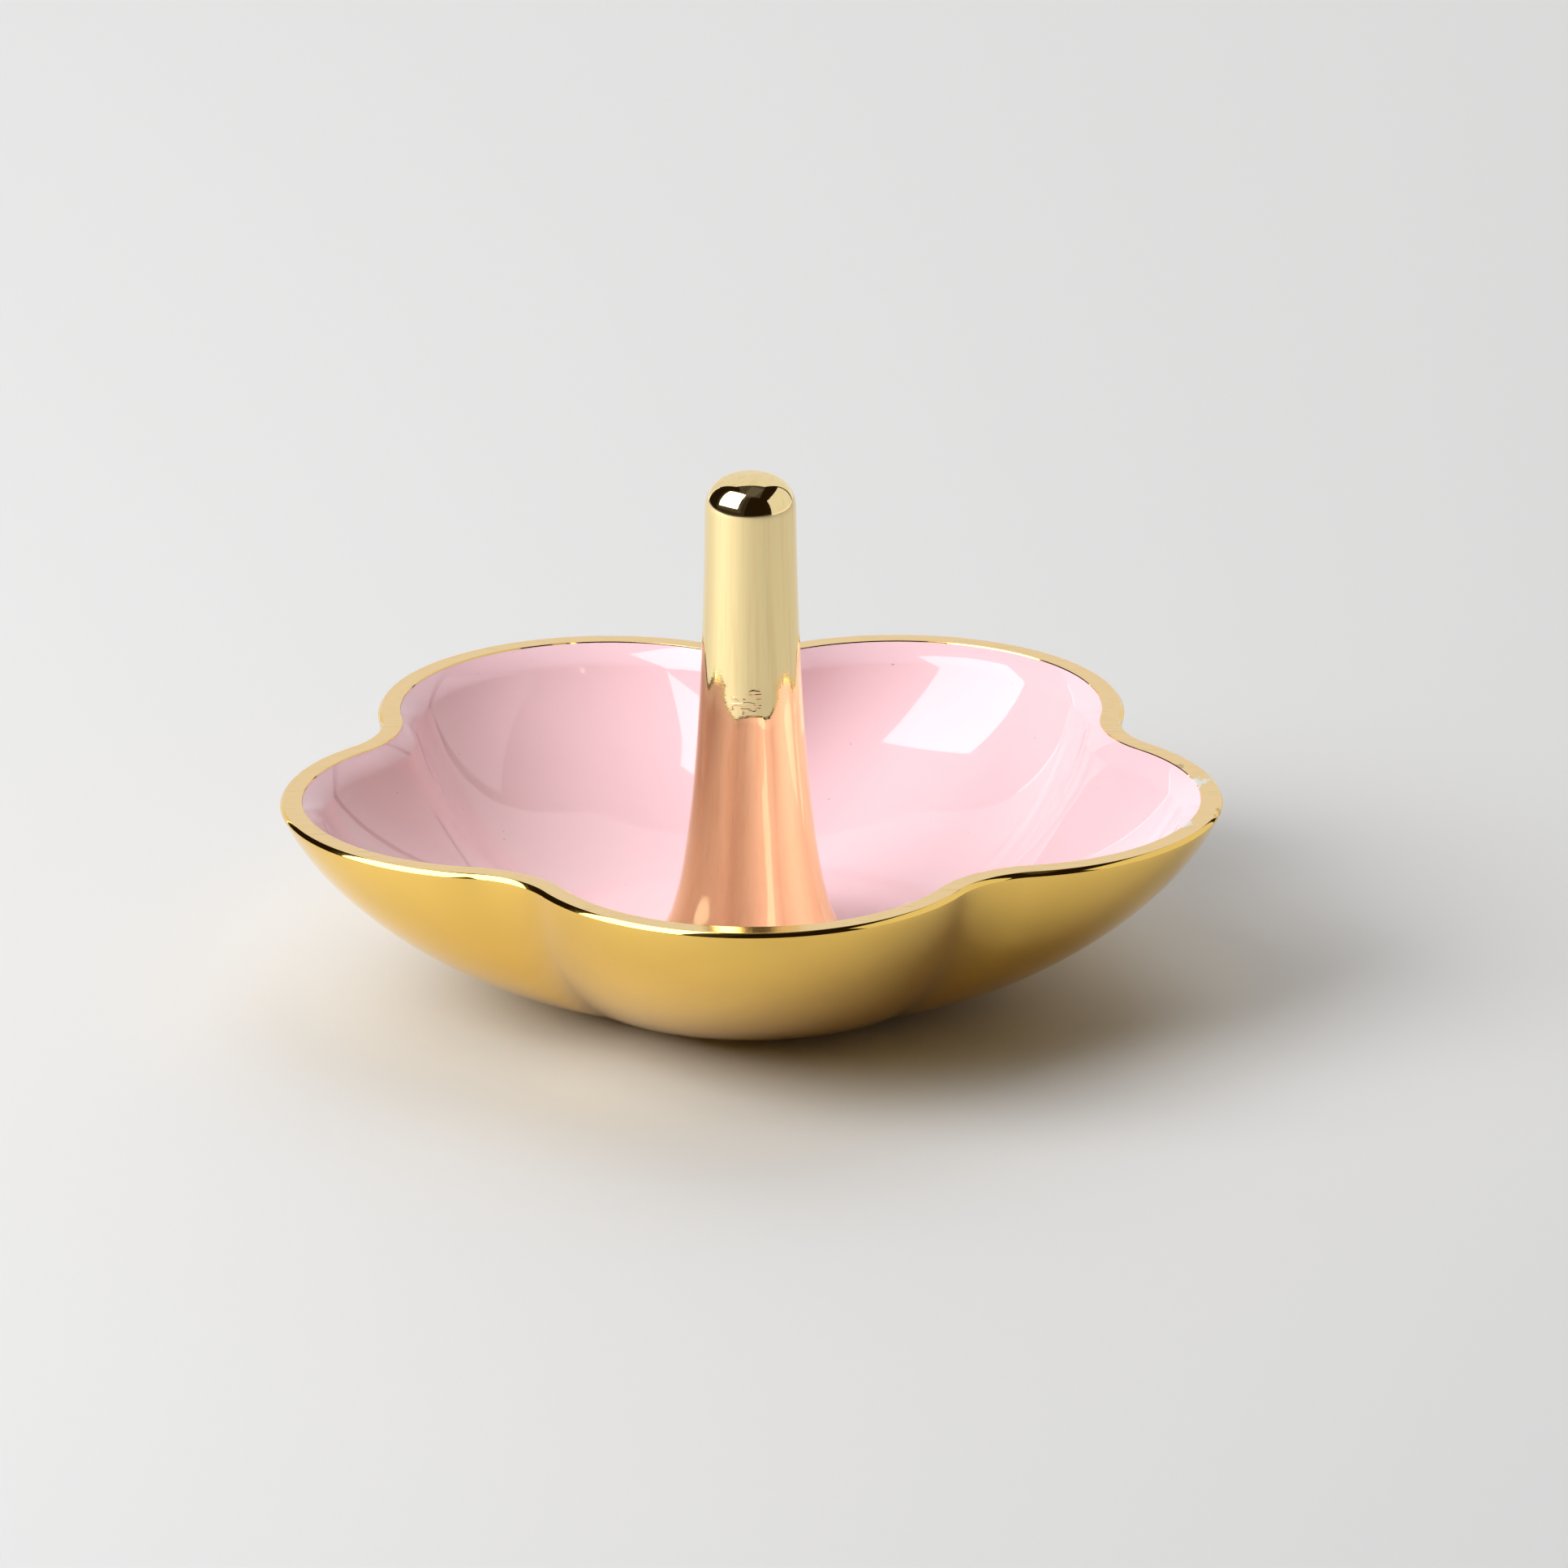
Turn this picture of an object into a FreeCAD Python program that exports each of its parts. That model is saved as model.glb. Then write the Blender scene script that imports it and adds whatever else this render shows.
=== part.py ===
import FreeCAD, Part
import math
import os

from FreeCAD import Vector

# A ring dish: a plated bowl with petals, an enamel lining, a ring post screwed up from below and a felt pad.
# Millimetres, +Z up. The origin is on the post's axis, at the surface that the dish stands on.
# One petal points along -Y, and a notch lies behind the post.

# Outline of the bowl at the outer edge of its rim
petal_count = 5
front_angle = -90.0         # degrees, the way that the first petal points
petal_radius = 25.25        # arc of a petal
petal_reach = 27.3          # from the axis to the centre of that arc
notch_radius = 11.05        # arc that joins two petals

# Walls of the bowl
rim_height = 23.5
rim_width = 2.55            # top of the wall, before its outer edge is rounded
rim_rounding = 0.6          # outer edge of the rim
base_radius = 19.4          # flat underside, along a petal
floor_radius = 21.0         # flat floor inside, along a petal
floor_thickness = 3.0

# Poles of the wall's curve, as shares of the way out and up from the flat middle to the rim
wall_shares = [(0.0, 0.0), (0.276, 0.0), (0.839, 0.451), (1.0, 1.0)]
# Levels along that curve where the wall's outline is drawn
level_shares = [0.0, 0.12, 0.26, 0.42, 0.58, 0.74, 0.88, 1.0]
# How much of the petals' depth is left at the flat middle
middle_lobe_share = 0.44

# Enamel lining
enamel_thickness = 0.7      # on the floor
enamel_edge = 1.3           # top of the lining along the rim, before it is rounded
enamel_recess = 0.12        # from the top of the rim down to the enamel's edge
enamel_gap = 0.15           # around the post's spigot
enamel_round_share = 1.15   # rounding of the enamel's edge, against its width

# Ring post, from its seat on the bare floor up to its dome
spigot_radius = 7.0
foot_clearance = 0.05       # between the enamel and the underside of the foot
foot_radius = 10.3
foot_edge = 0.4             # upright edge of the foot
post_radius = 4.95          # just under the dome
post_height = 53.5          # where the dome starts
dome_height = 4.05
dome_weight = 0.9           # of the middle pole of the dome's curve: higher is fuller

# Poles of the post's curve, as shares of the foot's spread and of the height from foot to dome
post_shares = [(1.0, 0.0), (0.238, 0.066), (0.035, 0.639), (0.0, 1.0)]

# Countersunk screw and its holes
screw_radius = 2.0
head_radius = 3.9
head_edge = 0.3             # upright edge of the head, before its 90 degree cone
head_recess = 0.1           # how far the head lies inside the underside
thread_length = 8.0         # length of screw inside the post
tip_chamfer = 0.4
slot_width = 0.9            # cross recess
slot_length = 4.4
slot_depth = 1.3
slot_angles = [0.0, 90.0]   # degrees
hole_clearance = 0.25       # around the screw in the bowl's floor
thread_clearance = 0.05     # around the screw in the post
tip_clearance = 1.0         # beyond the end of the screw
drill_point_share = 0.6     # depth of the hole's cone, against its radius

# Felt pad under the base
pad_thickness = 0.8
pad_margin = 1.6            # from the pad's edge to the nearest edge of the flat base

# How far a cutting shape runs past what it cuts
overrun = 2.0

full_turn = 360.0           # degrees
half_petal = math.pi / petal_count
tip_radius = petal_reach + petal_radius
floor_height = pad_thickness + floor_thickness
enamel_height = floor_height + enamel_thickness
foot_height = enamel_height + foot_clearance
head_height = pad_thickness + head_recess


def polar(radius, angle, height=0.0):
    return Vector(radius * math.cos(angle), radius * math.sin(angle), height)


def notch_distance(radius, reach, notch):
    """From the axis to the centre of the arc that joins two petals."""
    side = reach * math.sin(half_petal)
    return reach * math.cos(half_petal) + math.sqrt((radius + notch) ** 2 - side ** 2)


def petal_outline(tip, reach, notch, height):
    """A closed outline of petal arcs and the smaller arcs that join them."""
    radius = tip - reach
    far = notch_distance(radius, reach, notch)
    join = math.atan2(far * math.sin(half_petal), far * math.cos(half_petal) - reach)
    edges = []
    for index in range(petal_count):
        turn = math.radians(front_angle) + 2 * half_petal * index
        next_turn = turn + 2 * half_petal
        centre = polar(reach, turn, height)
        start = centre + polar(radius, turn - join)
        end = centre + polar(radius, turn + join)
        next_start = polar(reach, next_turn, height) + polar(radius, next_turn - join)
        edges.append(Part.Arc(start, centre + polar(radius, turn), end).toShape())
        edges.append(Part.Arc(end, polar(far - notch, turn + half_petal, height), next_start).toShape())
    return Part.Wire(edges)


def outline_sizes(tip, middle_tip, inset):
    """Reach and notch radius of a bowl surface's outline, where its petals end at the given tip."""
    top_tip = tip_radius - inset
    climb_share = (tip - middle_tip) / (top_tip - middle_tip)
    lobe_share = middle_lobe_share + (1 - middle_lobe_share) * climb_share
    size_share = tip / top_tip
    return petal_reach * lobe_share * size_share, (notch_radius + inset) * size_share


def bowl_form(middle_tip, middle_height, inset):
    """A solid bowl, from its flat middle up to an outline that lies inside the rim's by the inset."""
    top_tip = tip_radius - inset
    poles = []
    for out_share, up_share in wall_shares:
        out = middle_tip + out_share * (top_tip - middle_tip)
        up = middle_height + up_share * (rim_height - middle_height)
        poles.append(Vector(out, 0, up))
    wall = Part.BezierCurve()
    wall.setPoles(poles)
    outlines = []
    for level_share in level_shares:
        point = wall.value(level_share)
        reach, notch = outline_sizes(point.x, middle_tip, inset)
        outlines.append(petal_outline(point.x, reach, notch, point.z))
    return Part.makeLoft(outlines, True)


def revolved(profile):
    """A solid of revolution about the post's axis, from a closed wire."""
    return Part.Face(profile).revolve(Vector(), Vector(0, 0, 1), full_turn)


def turned(points):
    """A solid of revolution about the post's axis, from (radius, height) corners."""
    corners = [Vector(radius, 0, height) for radius, height in points]
    return revolved(Part.makePolygon(corners + corners[:1]))


def make_dish_shell():
    outside = bowl_form(base_radius, pad_thickness, 0)
    top_face = max(outside.Faces, key=lambda face: face.CenterOfMass.z)
    outside = outside.makeFillet(rim_rounding, top_face.Edges)
    shell = outside.cut(bowl_form(floor_radius, floor_height, rim_width))
    hole_radius = screw_radius + hole_clearance
    wide_radius = head_radius + hole_clearance
    cone_start = head_height + head_edge
    screw_hole = turned([
        (0, pad_thickness - overrun),
        (wide_radius, pad_thickness - overrun),
        (wide_radius, cone_start - hole_clearance),
        (hole_radius, cone_start + head_radius - hole_radius),
        (hole_radius, floor_height + overrun),
        (0, floor_height + overrun),
    ])
    return shell.cut(screw_hole)


def make_enamel_lining():
    cavity = bowl_form(floor_radius, floor_height, rim_width)
    surface = bowl_form(floor_radius, enamel_height, rim_width + enamel_edge)
    lining = cavity.cut(surface)
    above = Part.makeCylinder(tip_radius, enamel_recess + overrun, Vector(0, 0, rim_height - enamel_recess))
    post_hole = Part.makeCylinder(spigot_radius + enamel_gap, enamel_thickness + 2 * overrun,
                                  Vector(0, 0, floor_height - overrun))
    lining = lining.cut(above)
    top_face = max(lining.Faces, key=lambda face: face.CenterOfMass.z)
    inner_wire = min(top_face.Wires, key=lambda wire: wire.Length)
    lining = lining.makeFillet(enamel_round_share * enamel_edge, inner_wire.Edges)
    return lining.cut(post_hole)


def make_ring_post():
    side_start = foot_height + foot_edge
    poles = []
    for spread_share, rise_share in post_shares:
        radius = post_radius + spread_share * (foot_radius - post_radius)
        poles.append(Vector(radius, 0, side_start + rise_share * (post_height - side_start)))
    side = Part.BezierCurve()
    side.setPoles(poles)
    top = Vector(0, 0, post_height + dome_height)
    dome = Part.BezierCurve()
    dome.setPoles([poles[-1], Vector(post_radius, 0, top.z), top])
    dome.setWeight(2, dome_weight)
    corners = [
        top,
        Vector(0, 0, floor_height),
        Vector(spigot_radius, 0, floor_height),
        Vector(spigot_radius, 0, foot_height),
        Vector(foot_radius, 0, foot_height),
        poles[0],
    ]
    post = revolved(Part.Wire(Part.makePolygon(corners).Edges + [side.toShape(), dome.toShape()]))
    hole_radius = screw_radius + thread_clearance
    hole_end = floor_height + thread_length + tip_clearance
    thread_hole = turned([
        (0, floor_height - overrun),
        (hole_radius, floor_height - overrun),
        (hole_radius, hole_end),
        (0, hole_end + drill_point_share * hole_radius),
    ])
    return post.cut(thread_hole)


def make_post_screw():
    cone_start = head_height + head_edge
    tip = floor_height + thread_length
    screw = turned([
        (0, head_height),
        (head_radius, head_height),
        (head_radius, cone_start),
        (screw_radius, cone_start + head_radius - screw_radius),
        (screw_radius, tip - tip_chamfer),
        (screw_radius - tip_chamfer, tip),
        (0, tip),
    ])
    corner = Vector(-slot_length / 2, -slot_width / 2, head_height - overrun)
    for angle in slot_angles:
        slot = Part.makeBox(slot_length, slot_width, slot_depth + overrun, corner)
        slot.rotate(Vector(), Vector(0, 0, 1), angle)
        screw = screw.cut(slot)
    return screw


def make_base_pad():
    reach, notch = outline_sizes(base_radius, base_radius, 0)
    flat_radius = notch_distance(base_radius - reach, reach, notch) - notch
    return Part.makeCylinder(flat_radius - pad_margin, pad_thickness)


nodes = {
    "dish_shell": make_dish_shell(),
    "enamel_lining": make_enamel_lining(),
    "ring_post": make_ring_post(),
    "post_screw": make_post_screw(),
    "base_pad": make_base_pad(),
}

os.makedirs("parts", exist_ok=True)
for name, shape in nodes.items():
    shape.exportStep("parts/" + name + ".step")
    box = shape.BoundBox
    print(name, "valid", shape.isValid(), "solids", len(shape.Solids), "volume %.1f" % shape.Volume,
          "box %.2f %.2f %.2f to %.2f %.2f %.2f" % (box.XMin, box.YMin, box.ZMin, box.XMax, box.YMax, box.ZMax))
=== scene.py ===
import math

import bpy
import numpy as np
from mathutils import Matrix, Vector


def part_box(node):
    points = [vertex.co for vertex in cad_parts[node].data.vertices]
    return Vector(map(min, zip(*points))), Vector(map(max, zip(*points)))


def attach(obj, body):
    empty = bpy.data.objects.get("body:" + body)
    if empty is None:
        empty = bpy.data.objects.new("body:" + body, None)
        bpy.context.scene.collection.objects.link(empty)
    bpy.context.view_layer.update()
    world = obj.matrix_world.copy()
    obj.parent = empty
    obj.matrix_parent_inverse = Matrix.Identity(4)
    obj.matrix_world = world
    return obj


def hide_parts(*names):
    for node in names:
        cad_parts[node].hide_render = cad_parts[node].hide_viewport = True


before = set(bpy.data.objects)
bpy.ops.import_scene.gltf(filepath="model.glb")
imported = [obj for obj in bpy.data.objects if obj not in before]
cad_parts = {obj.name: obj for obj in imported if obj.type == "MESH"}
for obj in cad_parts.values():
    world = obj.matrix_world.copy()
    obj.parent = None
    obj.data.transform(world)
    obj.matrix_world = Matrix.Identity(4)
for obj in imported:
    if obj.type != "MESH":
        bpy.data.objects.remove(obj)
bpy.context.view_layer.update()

# A ring dish: a gold bowl with petals, its enamel, a ring post, the screw that holds it and a felt pad.
# Sizes in metres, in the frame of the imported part: +Z up, the origin under the post, one petal along -Y.
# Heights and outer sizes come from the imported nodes.
shell_low, shell_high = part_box("dish_shell")
enamel_low, enamel_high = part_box("enamel_lining")
post_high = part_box("ring_post")[1]
pad_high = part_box("base_pad")[1]

# Outline of the bowl at the outer edge of its rim
petal_count = 5
front_angle = math.radians(-90.0)      # the way that the first petal points
petal_radius = 0.02515                 # arc of a petal
petal_reach = 0.0273                   # from the axis to the centre of that arc
notch_radius = 0.01115                 # arc that joins two petals
skin = 0.00001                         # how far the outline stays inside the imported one
half_petal = math.pi / petal_count
tip_radius = petal_reach + petal_radius - skin

# Walls of the bowl
base_height = shell_low.z
base_radius = 0.0194                   # flat underside, along a petal
floor_height = enamel_low.z
floor_radius = 0.0210                  # flat floor inside, along a petal
rim_height = shell_high.z
rim_width = 0.00257                    # top of the wall, with its bevel
rim_inner_rounding = 0.00004           # edge between the flat top and the cavity
bevel_width = 0.00055                  # bevel of the rim's outer edge, along the flat top
bevel_depth = 0.00054                  # and along the wall
bevel_bulge_share = 0.18               # how far it swells towards the sharp edge that it replaces
bevel_turning = math.radians(34)       # how far the surface turns across it
crease_rounding = 0.00004              # where it meets the wall and the flat top
# Poles of the wall's curve, as shares of the way out and up from the flat middle to the rim
wall_shares = [(0.0, 0.0), (0.276, 0.0), (0.839, 0.451), (1.0, 1.0)]
# How much of the petals' depth is left at the flat middle
middle_lobe_share = 0.44

# Hole for the screw in the bowl's floor
hole_radius = 0.00225
countersink_radius = 0.00415
countersink_low = 0.00095              # height of the wide end of its cone
countersink_high = 0.00285             # and of the narrow end

# Enamel lining
enamel_thickness = 0.0007              # on the floor
enamel_edge = 0.0012                   # width along the rim
enamel_edge_slope = math.radians(35)   # how steeply its edge falls in from the rim
enamel_edge_round = 0.0010             # rounding between that slope and the wall
enamel_top = enamel_high.z
enamel_surface = floor_height + enamel_thickness
enamel_hole = 0.00715                  # radius of the hole around the post's spigot
hidden_gap = 0.00001                   # between the enamel's underside and the bowl
edge_gap = 0.00001                     # step from the top of the underside to the edge, inwards and upwards

# Ring post
foot_radius = post_high.x
foot_clearance = 0.00005               # between the enamel and the underside of the foot
foot_height = enamel_surface + foot_clearance
foot_edge = 0.0004                     # upright edge of the foot
post_radius = 0.00495                  # just under the dome
post_top = post_high.z
dome_height = 0.00405
dome_start = post_top - dome_height
dome_weight = 0.9                      # of the middle pole of the dome's curve: higher is fuller
spigot_radius = 0.0070
thread_radius = 0.00205
thread_depth = 0.0090                  # from the bowl's floor up to the end of the threaded hole
drill_point = 0.00123                  # height of the cone at that end
# Poles of the post's curve, as shares of the foot's spread and of the height from foot to dome
post_shares = [(1.0, 0.0), (0.238, 0.066), (0.035, 0.639), (0.0, 1.0)]

# Felt pad
pad_radius = pad_high.x
pad_thickness = pad_high.z
pad_bulge = 0.0002                     # how far its side swells

# Fineness of the meshes
bowl_columns = 720
turned_columns = 360
wall_rows = 56
hidden_rows = 24                       # walls that another piece covers
flat_rows = 4
bevel_rows = 10
crease_rows = 3
rim_inner_rows = 4
enamel_edge_rows = 20
dome_rows = 40
post_rows = 120
pad_rows = 9
curve_samples = 2001                   # points of a curve among which a share of it is looked up
sharp_angle = math.radians(35)
bowl_angles = np.linspace(0, 2 * math.pi, bowl_columns, endpoint=False)
turned_angles = np.linspace(0, 2 * math.pi, turned_columns, endpoint=False)


def polar_grid(radius, height, angles):
    """Points on rings: one row for each height, one column for each angle."""
    radius = np.broadcast_to(radius, (len(height), len(angles)))
    height = np.broadcast_to(np.asarray(height)[:, None], radius.shape)
    return np.stack([radius * np.cos(angles), radius * np.sin(angles), height], axis=2)


def circles(points, angles):
    """Round rings from (radius, height) corners."""
    radius, height = np.asarray(points, float).T
    return polar_grid(radius[:, None], height, angles)


def outline(tip, reach, notch):
    """Radius of a petal outline at each of the bowl's angles, one row for each tip."""
    tip, reach, notch = (np.atleast_1d(value)[:, None] for value in (tip, reach, notch))
    radius = tip - reach
    far = reach * math.cos(half_petal) + np.sqrt((radius + notch) ** 2 - (reach * math.sin(half_petal)) ** 2)
    turn = np.abs((bowl_angles - front_angle + half_petal) % (2 * half_petal) - half_petal)
    rest = half_petal - turn
    join_share = radius / (radius + notch)
    join_x = reach + (far * math.cos(half_petal) - reach) * join_share
    join_y = far * math.sin(half_petal) * join_share
    petal = reach * np.cos(turn) + np.sqrt(np.maximum(radius ** 2 - (reach * np.sin(turn)) ** 2, 0))
    dip = far * np.cos(rest) - np.sqrt(np.maximum(notch ** 2 - (far * np.sin(rest)) ** 2, 0))
    return np.where(turn < np.arctan2(join_y, join_x), petal, dip)


def rim_ring(inset, height):
    """One ring along the rim's outline, moved inwards by the inset."""
    radius = outline(tip_radius - inset, petal_reach, notch_radius + inset)
    return polar_grid(radius, [height], bowl_angles)


def bezier(poles, share):
    """Points of a cubic curve, given by its four poles."""
    share = np.asarray(share)[:, None]
    rest = 1 - share
    poles = np.asarray(poles)
    return (rest ** 3 * poles[0] + 3 * rest ** 2 * share * poles[1]
            + 3 * rest * share ** 2 * poles[2] + share ** 3 * poles[3])


def share_at_height(poles, height):
    """Share of the curve where it reaches the height."""
    shares = np.linspace(0, 1, curve_samples)
    return float(np.interp(height, bezier(poles, shares)[:, 1], shares))


def share_on_line(poles, start, slope):
    """Share where the curve's upper half meets a line that falls inwards from the start at the slope."""
    upper_half = np.linspace(0.5, 1, curve_samples)
    radius, height = bezier(poles, upper_half).T
    above = height - (start[1] - (start[0] - radius) * math.tan(slope))
    return float(np.interp(0, above, upper_half))


def share_before(poles, end_share, reach):
    """Share of the curve that lies the reach before the end share, along a straight line."""
    shares = np.linspace(0, end_share, curve_samples)
    points = bezier(poles, shares)
    away = np.hypot(*(points - points[-1]).T)
    return float(np.interp(-reach, -away, shares))


def slope_at_top(poles):
    """Angle at which the curve reaches its end."""
    (radius_before, height_before), (radius_end, height_end) = poles[2], poles[3]
    return math.atan2(height_end - height_before, radius_end - radius_before)


def wall_poles(middle_tip, middle_height, inset):
    """Poles of a wall's curve along a petal, as (radius, height)."""
    top_tip = tip_radius - inset
    return [(middle_tip + out * (top_tip - middle_tip), middle_height + up * (rim_height - middle_height))
            for out, up in wall_shares]


def bowl_wall(middle_tip, middle_height, inset, shares):
    """Rings of a bowl surface, from its flat middle at share 0 to the rim at share 1."""
    top_tip = tip_radius - inset
    tip, height = bezier(wall_poles(middle_tip, middle_height, inset), shares).T
    climb = (tip - middle_tip) / (top_tip - middle_tip)
    lobe = middle_lobe_share + (1 - middle_lobe_share) * climb
    size = tip / top_tip
    radius = outline(tip, petal_reach * lobe * size, (notch_radius + inset) * size)
    return polar_grid(radius, height, bowl_angles)


def conic(start, corner, end, weight, steps):
    """Points of a conic curve that leaves the start and reaches the end along lines through the corner."""
    low, middle, high = (1 - steps) ** 2, 2 * weight * steps * (1 - steps), steps ** 2
    return (low * start + middle * corner + high * end) / (low + middle + high)


def steps_between(rows):
    """Even steps from 0 to 1, one for each row, without 0 and 1 themselves."""
    return np.linspace(0, 1, rows + 2)[1:-1, None, None]


def rounded(start, corner, end, turning, rows):
    """Rings of a rounding between two rings, about the sharp corner that they would meet in."""
    return conic(start, corner, end, math.cos(turning / 2), steps_between(rows))


def flat_rings(first, last, rows):
    """Rings in between two rings, without the two themselves."""
    steps = steps_between(rows)
    return (1 - steps) * first + steps * last


def make_piece(name, corners, faces):
    """A smooth mesh with its normals outwards, and with sharp edges where its faces turn sharply."""
    mesh = bpy.data.meshes.new(name)
    mesh.from_pydata(corners.tolist(), [], faces)
    mesh.validate()
    piece = bpy.data.objects.new(name, mesh)
    bpy.context.scene.collection.objects.link(piece)
    bpy.context.view_layer.objects.active = piece
    bpy.ops.object.select_all(action="DESELECT")
    piece.select_set(True)
    bpy.ops.object.mode_set(mode="EDIT")
    bpy.ops.mesh.select_all(action="SELECT")
    bpy.ops.mesh.normals_make_consistent(inside=False)
    bpy.ops.object.mode_set(mode="OBJECT")
    mesh.shade_smooth()
    mesh.set_sharp_from_angle(angle=sharp_angle)
    return piece


def closed_piece(name, rings):
    """A mesh of quads over rings of points, with its last ring joined to its first."""
    rows, columns, _ = rings.shape
    row, column = np.meshgrid(np.arange(rows), np.arange(columns), indexing="ij")
    below, right = (row + 1) % rows, (column + 1) % columns
    faces = np.stack([row * columns + column, row * columns + right,
                      below * columns + right, below * columns + column], axis=2).reshape(-1, 4)
    return make_piece(name, rings.reshape(-1, 3), faces.tolist())


def turned_piece(name, points):
    """A mesh turned about the post's axis, from (radius, height) points that start and end on the axis."""
    rings = circles(points[1:-1], turned_angles)
    rows, columns, _ = rings.shape
    corners = np.vstack([rings.reshape(-1, 3), (0, 0, points[0][1]), (0, 0, points[-1][1])])
    first, last = rows * columns, rows * columns + 1
    faces = []
    for column in range(columns):
        right = (column + 1) % columns
        faces.append((first, right, column))
        faces.append((last, (rows - 1) * columns + column, (rows - 1) * columns + right))
        for row in range(rows - 1):
            faces.append((row * columns + column, row * columns + right,
                          (row + 1) * columns + right, (row + 1) * columns + column))
    return make_piece(name, corners, faces)


def make_bowl():
    """The bowl, ring by ring: its underside, outer wall, bevel, flat rim, cavity and screw hole."""
    poles = wall_poles(base_radius, base_height, 0)
    bevel_share = share_before(poles, 1, bevel_depth)
    wall_share = share_before(poles, 1, bevel_depth + crease_rounding)
    outside = bowl_wall(base_radius, base_height, 0, np.linspace(0, wall_share, wall_rows))
    bevel_low = bowl_wall(base_radius, base_height, 0, [bevel_share])
    bevel_high = rim_ring(bevel_width, rim_height)
    sharp_edge = rim_ring(0, rim_height)
    swell = (1 - bevel_bulge_share) * (bevel_low + bevel_high) / 2 + bevel_bulge_share * sharp_edge
    trim = crease_rounding / bevel_width
    steps = np.linspace(trim, 1 - trim, bevel_rows)[:, None, None]
    bevel = conic(bevel_low, swell, bevel_high, math.cos(bevel_turning / 2), steps)
    crease_turning = (math.pi - slope_at_top(poles) - bevel_turning) / 2
    top_outer = rim_ring(bevel_width + crease_rounding, rim_height)
    top_inner = rim_ring(rim_width - rim_inner_rounding, rim_height)
    inner_edge = rim_ring(rim_width, rim_height)
    inner_poles = wall_poles(floor_radius, floor_height, rim_width)
    inner_share = share_before(inner_poles, 1, rim_inner_rounding)
    cavity = bowl_wall(floor_radius, floor_height, rim_width, np.linspace(inner_share, 0, hidden_rows))
    underside = circles([(countersink_radius, base_height)], bowl_angles)
    hole = circles([
        (hole_radius, floor_height),
        (hole_radius, countersink_high),
        (countersink_radius, countersink_low),
    ], bowl_angles)
    rings = np.concatenate([
        underside,
        flat_rings(underside, outside[:1], flat_rows),
        outside,
        rounded(outside[-1:], bevel_low, bevel[:1], crease_turning, crease_rows),
        bevel,
        rounded(bevel[-1:], bevel_high, top_outer, crease_turning, crease_rows),
        top_outer,
        flat_rings(top_outer, top_inner, flat_rows),
        top_inner,
        rounded(top_inner, inner_edge, cavity[:1], slope_at_top(inner_poles), rim_inner_rows),
        cavity,
        flat_rings(cavity[-1:], hole[:1], flat_rows),
        hole,
    ])
    return closed_piece("bowl", rings)


def make_lining():
    """The enamel, ring by ring: its sloping edge, its surface, the hole for the post and its underside."""
    inset = rim_width + enamel_edge
    poles = wall_poles(floor_radius, enamel_surface, inset)
    turning = slope_at_top(poles) - enamel_edge_slope
    edge_inset = rim_width + hidden_gap + edge_gap
    corner_share = share_on_line(poles, (tip_radius - edge_inset, enamel_top), enamel_edge_slope)
    start_share = share_before(poles, corner_share, enamel_edge_round)
    edge = rim_ring(edge_inset, enamel_top)
    corner = bowl_wall(floor_radius, enamel_surface, inset, [corner_share])
    surface = bowl_wall(floor_radius, enamel_surface, inset, np.linspace(start_share, 0, wall_rows))
    under_height = floor_height + hidden_gap
    under_inset = rim_width + hidden_gap
    under_poles = wall_poles(floor_radius, under_height, under_inset)
    under_share = share_at_height(under_poles, enamel_top - edge_gap)
    under = bowl_wall(floor_radius, under_height, under_inset, np.linspace(0, under_share, hidden_rows))
    hole = circles([(enamel_hole, enamel_surface), (enamel_hole, under_height)], bowl_angles)
    rings = np.concatenate([
        edge,
        rounded(edge, corner, surface[:1], turning, enamel_edge_rows),
        surface,
        flat_rings(surface[-1:], hole[:1], flat_rows),
        hole,
        flat_rings(hole[1:], under[:1], flat_rows),
        under,
    ])
    return closed_piece("enamel", rings)


def make_post():
    """The post, from its dome down its side and foot to the spigot and the threaded hole."""
    side_start = foot_height + foot_edge
    top = np.array((0.0, post_top))
    corner = np.array((post_radius, post_top))
    shoulder = np.array((post_radius, dome_start))
    dome = conic(top, corner, shoulder, dome_weight, np.linspace(0, 1, dome_rows)[:, None])
    poles = [(post_radius + out * (foot_radius - post_radius), side_start + up * (dome_start - side_start))
             for out, up in post_shares]
    side = bezier(poles, np.linspace(1, 0, post_rows))[1:]
    thread_end = floor_height + thread_depth
    base = [
        (foot_radius, foot_height),
        (spigot_radius, foot_height),
        (spigot_radius, floor_height),
        (thread_radius, floor_height),
        (thread_radius, thread_end),
        (0.0, thread_end + drill_point),
    ]
    return turned_piece("post", dome.tolist() + side.tolist() + base)


def make_pad():
    """The felt disc, whose side swells a little."""
    turns = np.linspace(0, math.pi, pad_rows)
    side = [(pad_radius - pad_bulge * (1 - math.sin(turn)), pad_thickness / 2 * (1 - math.cos(turn)))
            for turn in turns]
    return turned_piece("felt", [(0.0, 0.0), (pad_radius / 2, 0.0)] + side + [(0.0, pad_thickness)])


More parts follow.
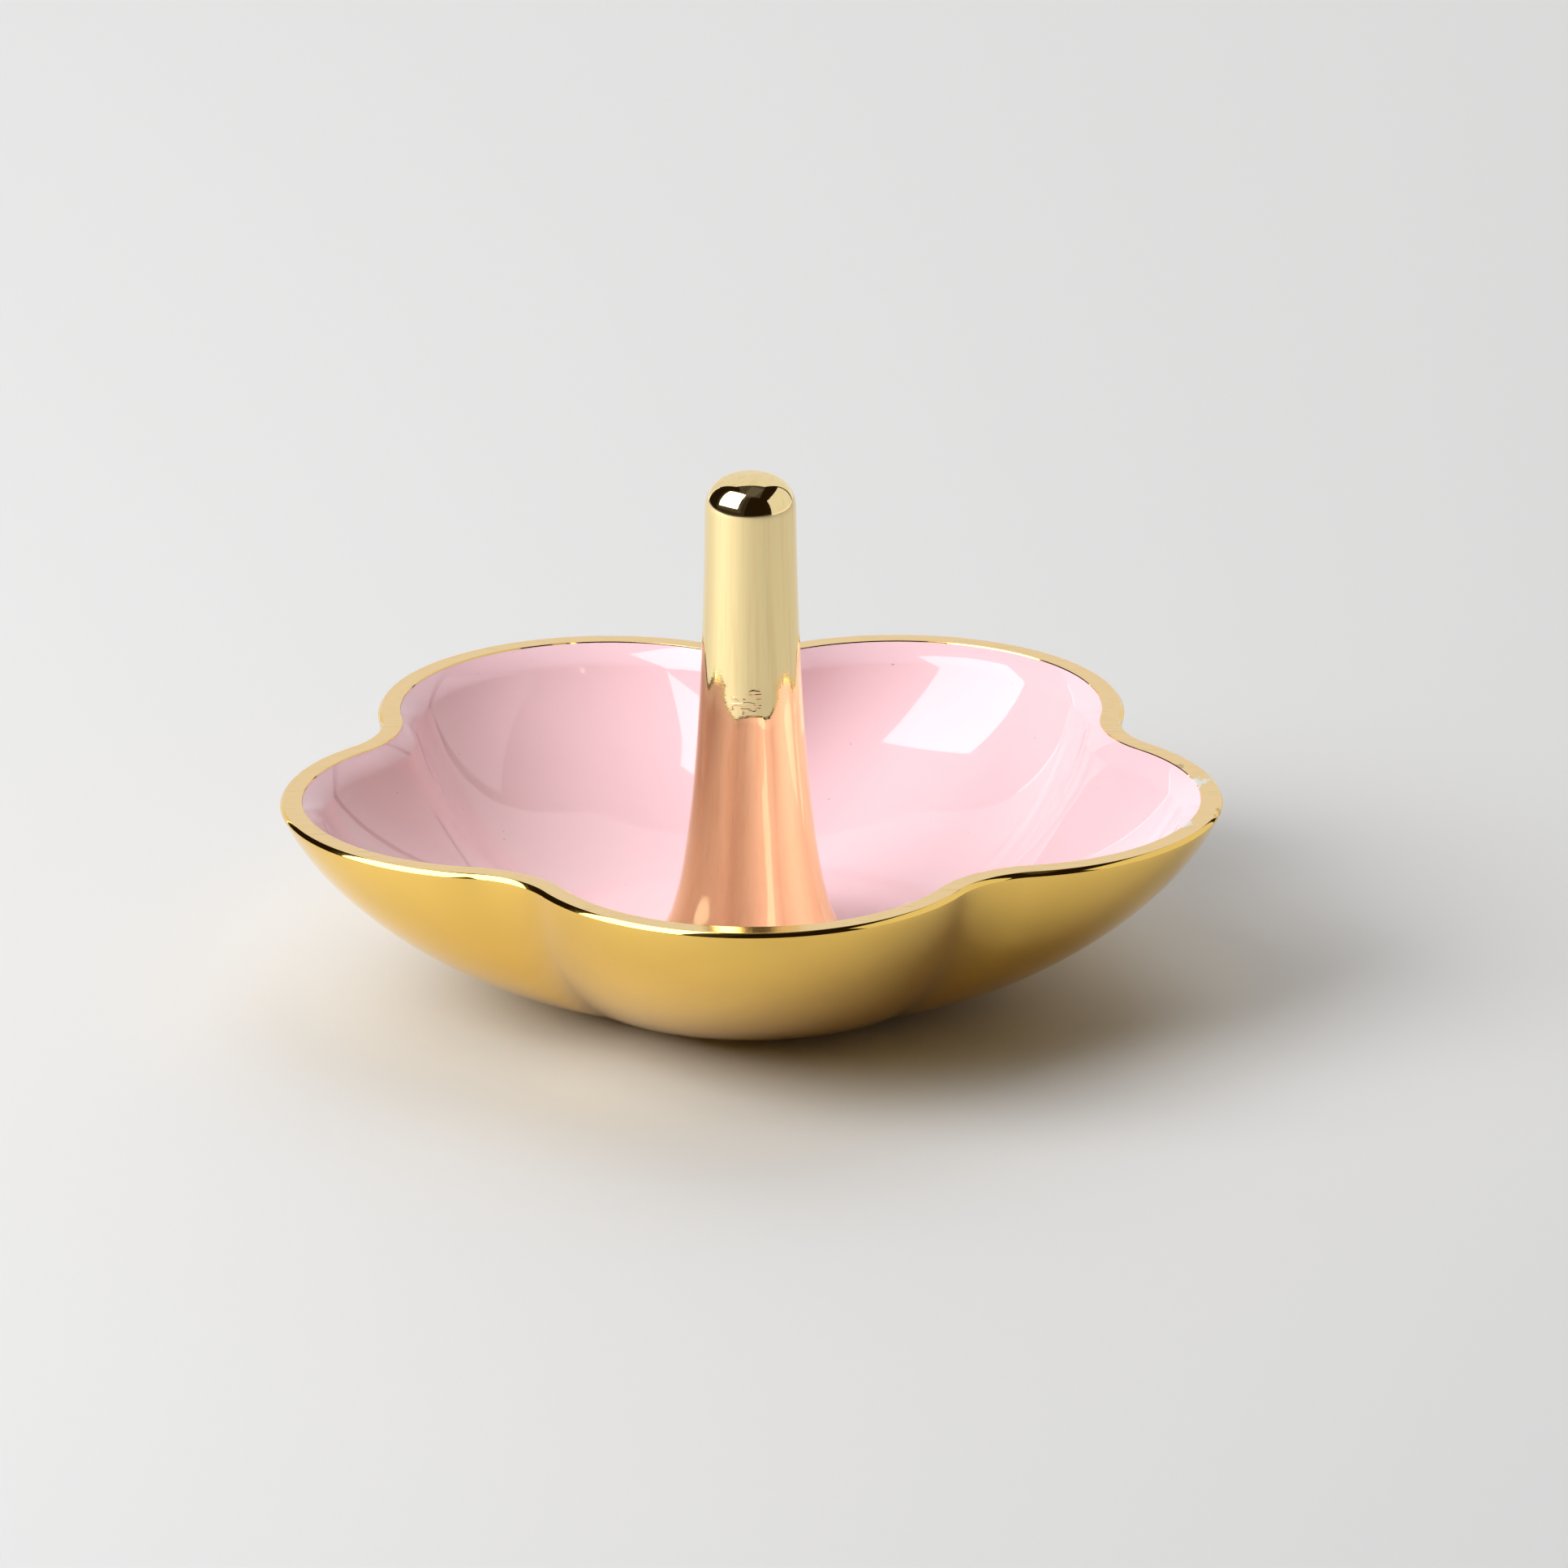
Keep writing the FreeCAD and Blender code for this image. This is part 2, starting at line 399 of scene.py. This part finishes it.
# Gold of the bowl
pale_gold = (0.97, 0.69, 0.31, 1.0)
deep_gold = (0.965, 0.645, 0.16, 1.0)
brown_gold = (0.78, 0.47, 0.10, 1.0)
scratch_gold = (0.44, 0.26, 0.09, 1.0)
bare_metal = (0.72, 0.70, 0.64, 1.0)
top_finish_start = 0.00006             # below the top of the rim, where the finish of the flat top starts
top_finish_full = 0.00001              # and where it is whole
bevel_finish_start = 0.0008            # and the same for the glossier finish of the bevel
bevel_finish_full = 0.00055
scratch_share = 0.2                    # strength of the colour in scratches
worn_share = 0.6                       # and in worn spots
bowl_ripple = 8e-6                     # heights and depths of the bump
bowl_grain = 4e-7
scratch_depth = 6e-7
chip_depth = 4e-5

# Places on the rim where the plating is chipped or worn, and how large the spots are
chips = [((0.0478, -0.0040, 0.0235), 0.0014), ((0.0465, -0.0177, 0.0235), 0.0010)]
worn_spots = [((0.0508, -0.0137, 0.0230), 0.0010), ((0.0465, 0.0014, 0.0235), 0.0005)]
spot_least_share = 0.35                # how far a ragged spot reaches, against its size
spot_most_share = 1.6

# Gold of the post
post_gold = (0.98, 0.79, 0.41, 1.0)
# Rosier gold towards the foot: a painted reflection of the pink enamel around it
post_gold_pink_reflection = (0.98, 0.72, 0.385, 1.0)
post_gold_dark = (0.90, 0.66, 0.32, 1.0)
post_streak = (0.66, 0.47, 0.19, 1.0)
pink_reflection_full = 0.005                    # height up to which the painted pink reflection is whole
pink_reflection_end = 0.045                   # and from which there is none
streak_rise = 1e-6                     # heights of the bump
turning_rise = 1.6e-6
chatter_rise = 2e-5
swell_rise = 1.1e-4

# Places on the front of the post where the turning tool has left deeper marks, and where its side swells
chatter_place = (-0.0004, -0.0056, 0.0332)
chatter_radius = 0.0015
swell_place = (-0.0002, -0.0057, 0.0311)
swell_radius = 0.0046

# Enamel
pink = (0.94, 0.655, 0.705, 1.0)
pink_deep = (0.925, 0.625, 0.68, 1.0)
# Darker pink painted along the enamel's edge by the rim, as shade
pink_edge_shade = (0.91, 0.62, 0.685, 1.0)
pink_speck = (0.55, 0.25, 0.27, 1.0)
edge_shade_start = 0.0024               # below the top of the rim, where the painted shade of the edge starts
edge_shade_full = 0.0004                # and where it is whole
edge_shade_share = 0.7
speck_share = 0.7
enamel_ripple = 2e-5                   # heights of the bump
speck_rise = 8e-6

# Felt and steel
felt_dark = (0.022, 0.019, 0.017, 1.0)
felt_pale = (0.062, 0.055, 0.050, 1.0)
felt_sheen = 0.3
fibre_rise = 3e-4
steel_pale = (0.62, 0.62, 0.64, 1.0)
steel_dark = (0.45, 0.45, 0.47, 1.0)
mark_rise = 4e-6

# Most of a noise lies between these two values
noise_low = 0.3
noise_high = 0.7


def new_material(name):
    material = bpy.data.materials.new(name)
    material.use_nodes = True
    return material, material.node_tree, material.node_tree.nodes["Principled BSDF"]


def fill(tree, socket, value):
    """Sets a socket, or links it where the value is a socket itself."""
    if isinstance(value, bpy.types.NodeSocket):
        tree.links.new(value, socket)
    else:
        socket.default_value = value


def fill_inputs(tree, node, **values):
    """Fills a node's inputs by name, with _ for each space."""
    for name, value in values.items():
        fill(tree, node.inputs[name.replace("_", " ")], value)


def add(tree, kind, **values):
    """A new node with these inputs."""
    made = tree.nodes.new(kind)
    fill_inputs(tree, made, **values)
    return made


def own_coordinates(tree):
    return add(tree, "ShaderNodeTexCoord").outputs["Object"]


def height_above_base(tree):
    return add(tree, "ShaderNodeSeparateXYZ", Vector=own_coordinates(tree)).outputs["Z"]


def distance_from(tree, place):
    made = tree.nodes.new("ShaderNodeVectorMath")
    made.operation = "DISTANCE"
    fill(tree, made.inputs[0], own_coordinates(tree))
    fill(tree, made.inputs[1], place)
    return made.outputs["Value"]


def noise(tree, waves, detail, turn=0.0):
    """Noise in the piece's own coordinates, turned about Z. Waves are per metre, for all axes or each."""
    scale = waves if isinstance(waves, tuple) else (waves, waves, waves)
    turned = add(tree, "ShaderNodeMapping", Vector=own_coordinates(tree),
                 Rotation=(0.0, 0.0, turn), Scale=scale)
    made = add(tree, "ShaderNodeTexNoise", Vector=turned.outputs["Vector"], Scale=1.0, Detail=detail)
    return made.outputs[0]


def spread(tree, value, low=0.0, high=1.0, first=0.0, last=1.0):
    """The value's range from low to high, eased into the range from first to last."""
    made = add(tree, "ShaderNodeMapRange", Value=value,
               From_Min=low, From_Max=high, To_Min=first, To_Max=last)
    made.interpolation_type = "SMOOTHSTEP"
    return made.outputs["Result"]


def vary(tree, value, first=0.0, last=1.0):
    """The usual range of a noise, eased into the range from first to last."""
    return spread(tree, value, noise_low, noise_high, first, last)


def blend(tree, factor, first, last):
    """A mix of two colours. The node's sockets go by number, since those of each kind share their names."""
    made = tree.nodes.new("ShaderNodeMix")
    made.data_type = "RGBA"
    fill(tree, made.inputs[0], factor)
    fill(tree, made.inputs[6], first)
    fill(tree, made.inputs[7], last)
    return made.outputs[2]


def combine(tree, operation, first, second):
    made = tree.nodes.new("ShaderNodeMath")
    made.operation = operation
    fill(tree, made.inputs[0], first)
    fill(tree, made.inputs[1], second)
    return made.outputs[0]


def highest(tree, values):
    top = values[0]
    for value in values[1:]:
        top = combine(tree, "MAXIMUM", top, value)
    return top


def bump(tree, height, rise, normal=None):
    """A bumped normal, on top of another if that is given. The rise is how far a height of 1 stands out."""
    made = add(tree, "ShaderNodeBump", Height=height, Distance=rise)
    if normal is not None:
        fill_inputs(tree, made, Normal=normal)
    return made.outputs["Normal"]


def spot(tree, place, radius, ragged):
    """1 within a ragged spot about a place and 0 outside it."""
    uneven = vary(tree, ragged, spot_least_share * radius, spot_most_share * radius)
    return combine(tree, "LESS_THAN", distance_from(tree, place), uneven)


def swelling(tree, place, radius):
    """1 at a place, falling smoothly to 0 at the radius."""
    return spread(tree, distance_from(tree, place), high=radius, first=1.0, last=0.0)


def bowl_gold():
    """Satin plating, with a glossier bevel, and a paler flat top that is scratched, worn and chipped."""
    material, tree, shader = new_material("gold_bowl")
    height = height_above_base(tree)
    on_top = spread(tree, height, rim_height - top_finish_start, rim_height - top_finish_full)
    on_bevel = spread(tree, height, rim_height - bevel_finish_start, rim_height - bevel_finish_full)
    cloud = noise(tree, waves=55.0, detail=3.0)
    mottle = noise(tree, waves=420.0, detail=4.0)
    ragged = noise(tree, waves=900.0, detail=3.0)
    hairs = highest(tree, [
        spread(tree, noise(tree, waves=(180.0, 3200.0, 400.0), detail=2.0, turn=0.6), low=0.66, high=0.72),
        spread(tree, noise(tree, waves=(160.0, 2600.0, 400.0), detail=2.0, turn=2.1), low=0.67, high=0.73),
    ])
    scratches = combine(tree, "MULTIPLY", hairs, on_top)
    worn = highest(tree, [spot(tree, place, radius, ragged) for place, radius in worn_spots])
    chip = highest(tree, [spot(tree, place, radius, ragged) for place, radius in chips])
    wall = blend(tree, spread(tree, cloud, low=0.35, high=0.7, last=0.25), deep_gold, brown_gold)
    top = blend(tree, spread(tree, mottle, low=0.45, high=0.75, last=0.12), pale_gold, brown_gold)
    colour = blend(tree, on_top, wall, top)
    colour = blend(tree, combine(tree, "MULTIPLY", scratches, scratch_share), colour, scratch_gold)
    colour = blend(tree, combine(tree, "MULTIPLY", worn, worn_share), colour, scratch_gold)
    colour = blend(tree, chip, colour, bare_metal)
    metallic = spread(tree, chip, first=1.0, last=0.15)
    rough = vary(tree, cloud, first=0.10, last=0.15)
    for finish, change in ((on_bevel, -0.06), (on_top, 0.08), (chip, 0.4)):
        rough = combine(tree, "ADD", rough, spread(tree, finish, last=change))
    normal = bump(tree, noise(tree, waves=130.0, detail=2.0), bowl_ripple)
    normal = bump(tree, noise(tree, waves=2600.0, detail=2.0), bowl_grain, normal)
    normal = bump(tree, scratches, -scratch_depth, normal)
    normal = bump(tree, chip, -chip_depth, normal)
    fill_inputs(tree, shader, Base_Color=colour, Metallic=metallic, Roughness=rough, Normal=normal)
    return material


def polished_gold():
    """Plating polished along the post, over fine marks of turning, with a rosy tint towards the foot that is
    a painted reflection of the pink enamel.
    """
    material, tree, shader = new_material("gold_post")
    streaks = noise(tree, waves=(1300.0, 1300.0, 12.0), detail=3.0)
    fine_streaks = noise(tree, waves=(3600.0, 3600.0, 8.0), detail=2.0)
    turning_marks = noise(tree, waves=(500.0, 500.0, 5000.0), detail=1.0)
    chatter = spread(tree, noise(tree, waves=(600.0, 600.0, 2600.0), detail=1.0), low=0.50, high=0.60)
    ragged = noise(tree, waves=(700.0, 700.0, 300.0), detail=2.0)
    chattered = spot(tree, chatter_place, chatter_radius, ragged)
    cloud = noise(tree, waves=(150.0, 150.0, 60.0), detail=3.0)
    # Painted reflection: the gold turns rosy near the foot, where the pink enamel shows in it
    painted_pink_reflection = spread(tree, height_above_base(tree), pink_reflection_full, pink_reflection_end, first=1.0, last=0.0)
    colour = blend(tree, painted_pink_reflection, post_gold, post_gold_pink_reflection)
    colour = blend(tree, spread(tree, streaks, low=0.48, high=0.70, last=0.5), colour, post_gold_dark)
    colour = blend(tree, spread(tree, fine_streaks, low=0.60, high=0.72, last=0.16), colour, post_streak)
    rough = vary(tree, cloud, first=0.03, last=0.07)
    normal = bump(tree, fine_streaks, streak_rise)
    normal = bump(tree, turning_marks, turning_rise, normal)
    normal = bump(tree, swelling(tree, swell_place, swell_radius), swell_rise, normal)
    normal = bump(tree, combine(tree, "MULTIPLY", chatter, chattered), chatter_rise, normal)
    fill_inputs(tree, shader, Base_Color=colour, Metallic=1.0, Roughness=rough, Normal=normal)
    return material


def enamel():
    """Glossy pink, uneven as poured enamel is, with a few specks, and a darker colour painted along its edge
    as shade.
    """
    material, tree, shader = new_material("pink_enamel")
    height = height_above_base(tree)
    shaded_edge = spread(tree, height, rim_height - edge_shade_start, rim_height - edge_shade_full)
    cloud = noise(tree, waves=38.0, detail=3.0)
    specks = spread(tree, noise(tree, waves=1700.0, detail=1.0), low=0.80, high=0.83)
    colour = blend(tree, vary(tree, cloud), pink, pink_deep)
    # Painted shade along the enamel's edge by the rim
    colour = blend(tree, combine(tree, "MULTIPLY", shaded_edge, edge_shade_share), colour, pink_edge_shade)
    colour = blend(tree, combine(tree, "MULTIPLY", specks, speck_share), colour, pink_speck)
    rough = vary(tree, cloud, first=0.025, last=0.05)
    normal = bump(tree, noise(tree, waves=48.0, detail=2.0), enamel_ripple)
    normal = bump(tree, specks, speck_rise, normal)
    fill_inputs(tree, shader, Base_Color=colour, Roughness=rough, Normal=normal)
    return material


def felt():
    """Dark pressed fibres with a faint sheen."""
    material, tree, shader = new_material("felt")
    fibres = noise(tree, waves=2500.0, detail=6.0)
    cloud = noise(tree, waves=200.0, detail=3.0)
    colour = blend(tree, vary(tree, fibres), felt_dark, felt_pale)
    rough = vary(tree, cloud, first=0.88, last=1.0)
    normal = bump(tree, fibres, fibre_rise)
    fill_inputs(tree, shader, Base_Color=colour, Roughness=rough, Normal=normal, Sheen_Weight=felt_sheen)
    return material


def steel():
    """Plain steel with fine marks around the screw."""
    material, tree, shader = new_material("steel")
    marks = noise(tree, waves=(900.0, 900.0, 4000.0), detail=3.0)
    colour = blend(tree, vary(tree, marks), steel_pale, steel_dark)
    rough = vary(tree, marks, first=0.22, last=0.4)
    normal = bump(tree, marks, mark_rise)
    fill_inputs(tree, shader, Base_Color=colour, Metallic=1.0, Roughness=rough, Normal=normal)
    return material


# Camera, with its focal length in pixels of a square image
camera_place = (0.0, -1.41074, 0.51121)
camera_pitch = math.radians(19.1225)   # downwards
camera_yaw = math.radians(0.1435)      # to the right
camera_roll = math.radians(-0.145)
focal_pixels = 16950.0
image_pixels = 1932.0

# Studio
floor_reach = 4.0
floor_colour = (0.672, 0.672, 0.674, 1.0)
floor_roughness = 0.6
room_colour = (0.015, 0.009, 0.004, 1.0)
middle = (0.0, 0.0, 0.0)               # what the panels overhead face

# Main lamp, at the left of the object
lamp_place = (-0.619, -0.176, 0.766)
lamp_target = (0.032, 0.507, 0.439)    # the point that it faces
lamp_width = 0.87
lamp_height = 1.02
lamp_roll = math.radians(1.0)
lamp_gap = 0.0001                      # from the panel that shows to those before it that give the light

# Board at the right, which lights the object and shows in it as two panels at one place
side_place = (0.6, 0.07, 0.34)
side_target = (0.0, 0.07, 0.34)
side_width = 1.01
side_height = 0.68


def make_camera():
    level = math.cos(camera_pitch)
    forward = Vector((level * math.sin(camera_yaw), level * math.cos(camera_yaw), -math.sin(camera_pitch)))
    right = Vector((math.cos(camera_yaw), -math.sin(camera_yaw), 0.0))
    up = right.cross(forward)
    turn = Matrix((right, up, -forward)).transposed() @ Matrix.Rotation(camera_roll, 3, "Z")
    camera = bpy.data.objects.new("camera", bpy.data.cameras.new("camera"))
    camera.matrix_world = Matrix.Translation(Vector(camera_place)) @ turn.to_4x4()
    camera.data.lens = camera.data.sensor_width * focal_pixels / image_pixels
    bpy.context.scene.collection.objects.link(camera)
    bpy.context.scene.camera = camera


def make_floor():
    mesh = bpy.data.meshes.new("floor")
    corners = [(-floor_reach, -floor_reach, 0), (floor_reach, -floor_reach, 0),
               (floor_reach, floor_reach, 0), (-floor_reach, floor_reach, 0)]
    mesh.from_pydata(corners, [], [(0, 1, 2, 3)])
    floor = bpy.data.objects.new("floor", mesh)
    bpy.context.scene.collection.objects.link(floor)
    material, tree, shader = new_material("floor")
    fill_inputs(tree, shader, Base_Color=floor_colour, Roughness=floor_roughness)
    floor.data.materials.append(material)


def lit_panel(name, place, target, width, height, radiance,
              lights=True, mirrored=True, roll=0.0, up=0.0, back=0.0):
    """A flat panel that faces the target, moved up and back along its own directions.

    It lights dull surfaces, shows in glossy ones, or both.
    """
    facing = (Vector(target) - Vector(place)).to_track_quat("-Z", "Y").to_matrix()
    facing = facing @ Matrix.Rotation(roll, 3, "Z")
    centre = Vector(place) + facing @ Vector((0.0, up, back))
    lamp = bpy.data.lights.new(name, "AREA")
    lamp.shape = "RECTANGLE"
    lamp.size = width
    lamp.size_y = height
    lamp.energy = radiance * math.pi * width * height
    panel = bpy.data.objects.new(name, lamp)
    panel.matrix_world = Matrix.Translation(centre) @ facing.to_4x4()
    panel.visible_camera = False
    panel.visible_diffuse = lights
    panel.visible_glossy = mirrored
    bpy.context.scene.collection.objects.link(panel)


def towards(azimuth, elevation, distance):
    """A place seen from the origin, in degrees. Azimuth 0 is behind the object and 90 is to its right."""
    turn, rise = math.radians(azimuth), math.radians(elevation)
    return (distance * math.sin(turn) * math.cos(rise), distance * math.cos(turn) * math.cos(rise),
            distance * math.sin(rise))


def make_main_lamp():
    """The lamp shows evenly, with a faint halo. Its lower half gives more light than its upper half."""
    lit_panel("softbox", lamp_place, lamp_target, lamp_width, lamp_height,
              radiance=5.3, lights=False, roll=lamp_roll)
    lit_panel("key_low", lamp_place, lamp_target, lamp_width, lamp_height / 2,
              radiance=6.7, mirrored=False, up=-lamp_height / 4, back=-lamp_gap)
    lit_panel("key_high", lamp_place, lamp_target, lamp_width, lamp_height / 2,
              radiance=2.2, mirrored=False, up=lamp_height / 4, back=-lamp_gap)
    lit_panel("inner_halo", lamp_place, lamp_target, width=1.15, height=1.30,
              radiance=0.03, lights=False, back=0.02)
    lit_panel("outer_halo", lamp_place, lamp_target, width=1.50, height=1.65,
              radiance=0.02, lights=False, back=0.04)


def make_boards():
    """Pale boards behind the object and at its right."""
    lit_panel("back_board", (0.0, 0.6, 0.75), (0.0, 0.0, 0.75), width=1.08, height=1.50, radiance=0.80)
    lit_panel("side_board", side_place, side_target, side_width, side_height, radiance=0.80, lights=False)
    lit_panel("side_fill", side_place, side_target, side_width, side_height, radiance=0.80, mirrored=False)


def make_fill():
    """Soft light from above that doesn't show in glossy surfaces."""
    lit_panel("back_fill", towards(-10.0, 55.0, 1.1), middle, width=1.2, height=0.8,
              radiance=0.8, mirrored=False)
    lit_panel("ceiling", (0.0, 0.0, 1.3), middle, width=4.0, height=4.0, radiance=0.08, mirrored=False)
    lit_panel("top_fill", towards(80.0, 77.0, 1.2), middle, width=0.8, height=0.6,
              radiance=0.9, mirrored=False)


def make_reflections():
    """What only shows in glossy surfaces: a bright edge beside the board behind, and a glow overhead."""
    lit_panel("board_edge", (-0.55, 0.6, 0.25), (-0.55, 0.0, 0.25), width=0.02, height=0.5,
              radiance=2.4, lights=False)
    lit_panel("ceiling_glow", (0.05, 0.0, 1.2), middle, width=1.1, height=0.8, radiance=0.05, lights=False)
    lit_panel("ceiling_core", (0.12, -0.05, 1.19), middle, width=0.7, height=0.45,
              radiance=0.05, lights=False)


def make_room():
    world = bpy.data.worlds.new("studio")
    world.use_nodes = True
    world.node_tree.nodes["Background"].inputs["Color"].default_value = room_colour
    bpy.context.scene.world = world


def dress(piece, node, material):
    piece.data.materials.append(material)
    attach(piece, "root")
    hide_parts(node)


dress(make_bowl(), "dish_shell", bowl_gold())
dress(make_lining(), "enamel_lining", enamel())
dress(make_post(), "ring_post", polished_gold())
felt_pad = make_pad()
dress(felt_pad, "base_pad", felt())
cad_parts["post_screw"].data.materials.clear()
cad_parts["post_screw"].data.materials.append(steel())

make_floor()
make_room()
make_main_lamp()
make_boards()
make_fill()
make_reflections()
make_camera()
bpy.context.scene.view_settings.view_transform = "Standard"
